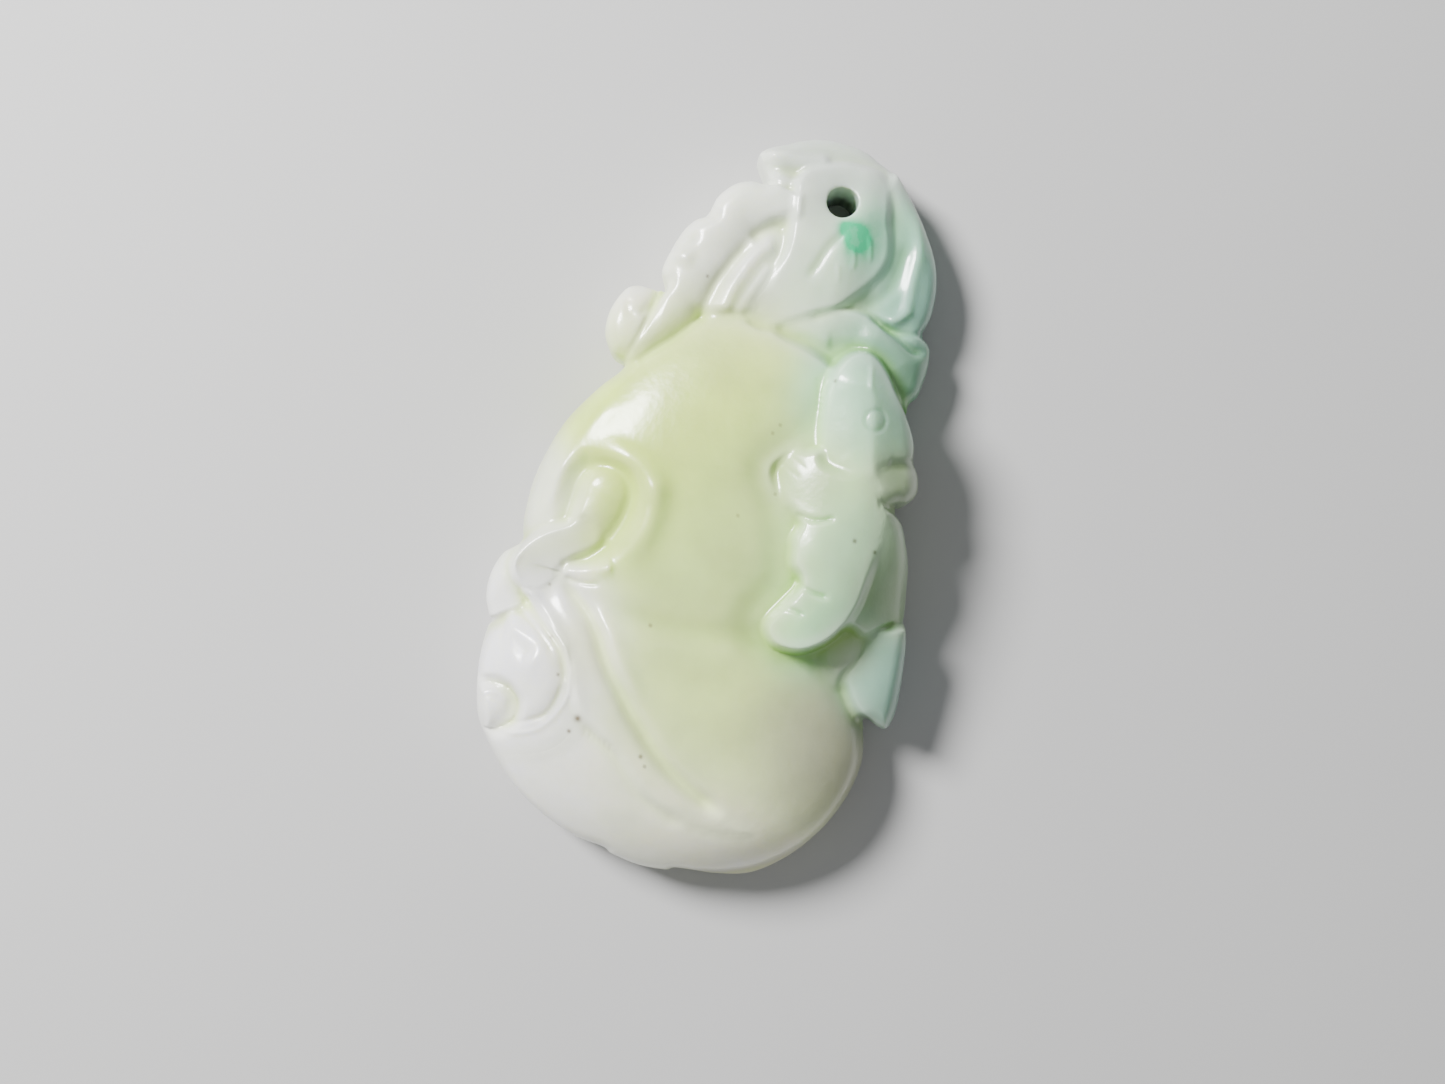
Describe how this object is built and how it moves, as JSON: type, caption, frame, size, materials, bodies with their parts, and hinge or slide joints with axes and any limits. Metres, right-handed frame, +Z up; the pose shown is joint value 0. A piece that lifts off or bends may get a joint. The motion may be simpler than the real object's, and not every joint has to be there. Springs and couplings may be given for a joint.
{
  "type": "jade pendant",
  "caption": "Carved jade pendant of a two-lobed gourd with a climbing rat, leaves, a vine scroll and a tied ribbon, drilled for a cord",
  "frame": {"origin": "middle of the pendant's outline, on its flat back", "axes": "+Z up out of the carved face, +Y along the pendant towards the cord hole, +X across it towards the rat"},
  "size_m": [0.0272, 0.0483, 0.0086],
  "materials": {
    "jade_yellow": "polished",
    "jade_white": "polished",
    "jade_lilac": "polished",
    "jade_pale": "polished",
    "jade_green": "polished"
  },
  "bodies": {
    "root": {"gourd_upper": "jade_yellow", "gourd_lower": "jade_yellow", "ribbon_loop": "jade_yellow", "ribbon_tail": "jade_yellow", "ribbon_bend": "jade_white", "side_lobe": "jade_white", "ruyi_scroll": "jade_white", "ruyi_bead": "jade_white", "back_petal": "jade_lilac", "crest_leaf": "jade_lilac", "vine_scroll": "jade_lilac", "front_leaf": "jade_pale", "stem": "jade_pale", "vine_curl": "jade_pale", "side_leaf_upper": "jade_green", "side_leaf_lower": "jade_green", "rat_head": "jade_green", "rat_trunk": "jade_green", "rat_forepaw": "jade_green", "rat_hind_leg": "jade_green", "rat_far_paw": "jade_green", "rat_haunch": "jade_green", "rat_tail": "jade_green"}
  },
  "joints": []
}
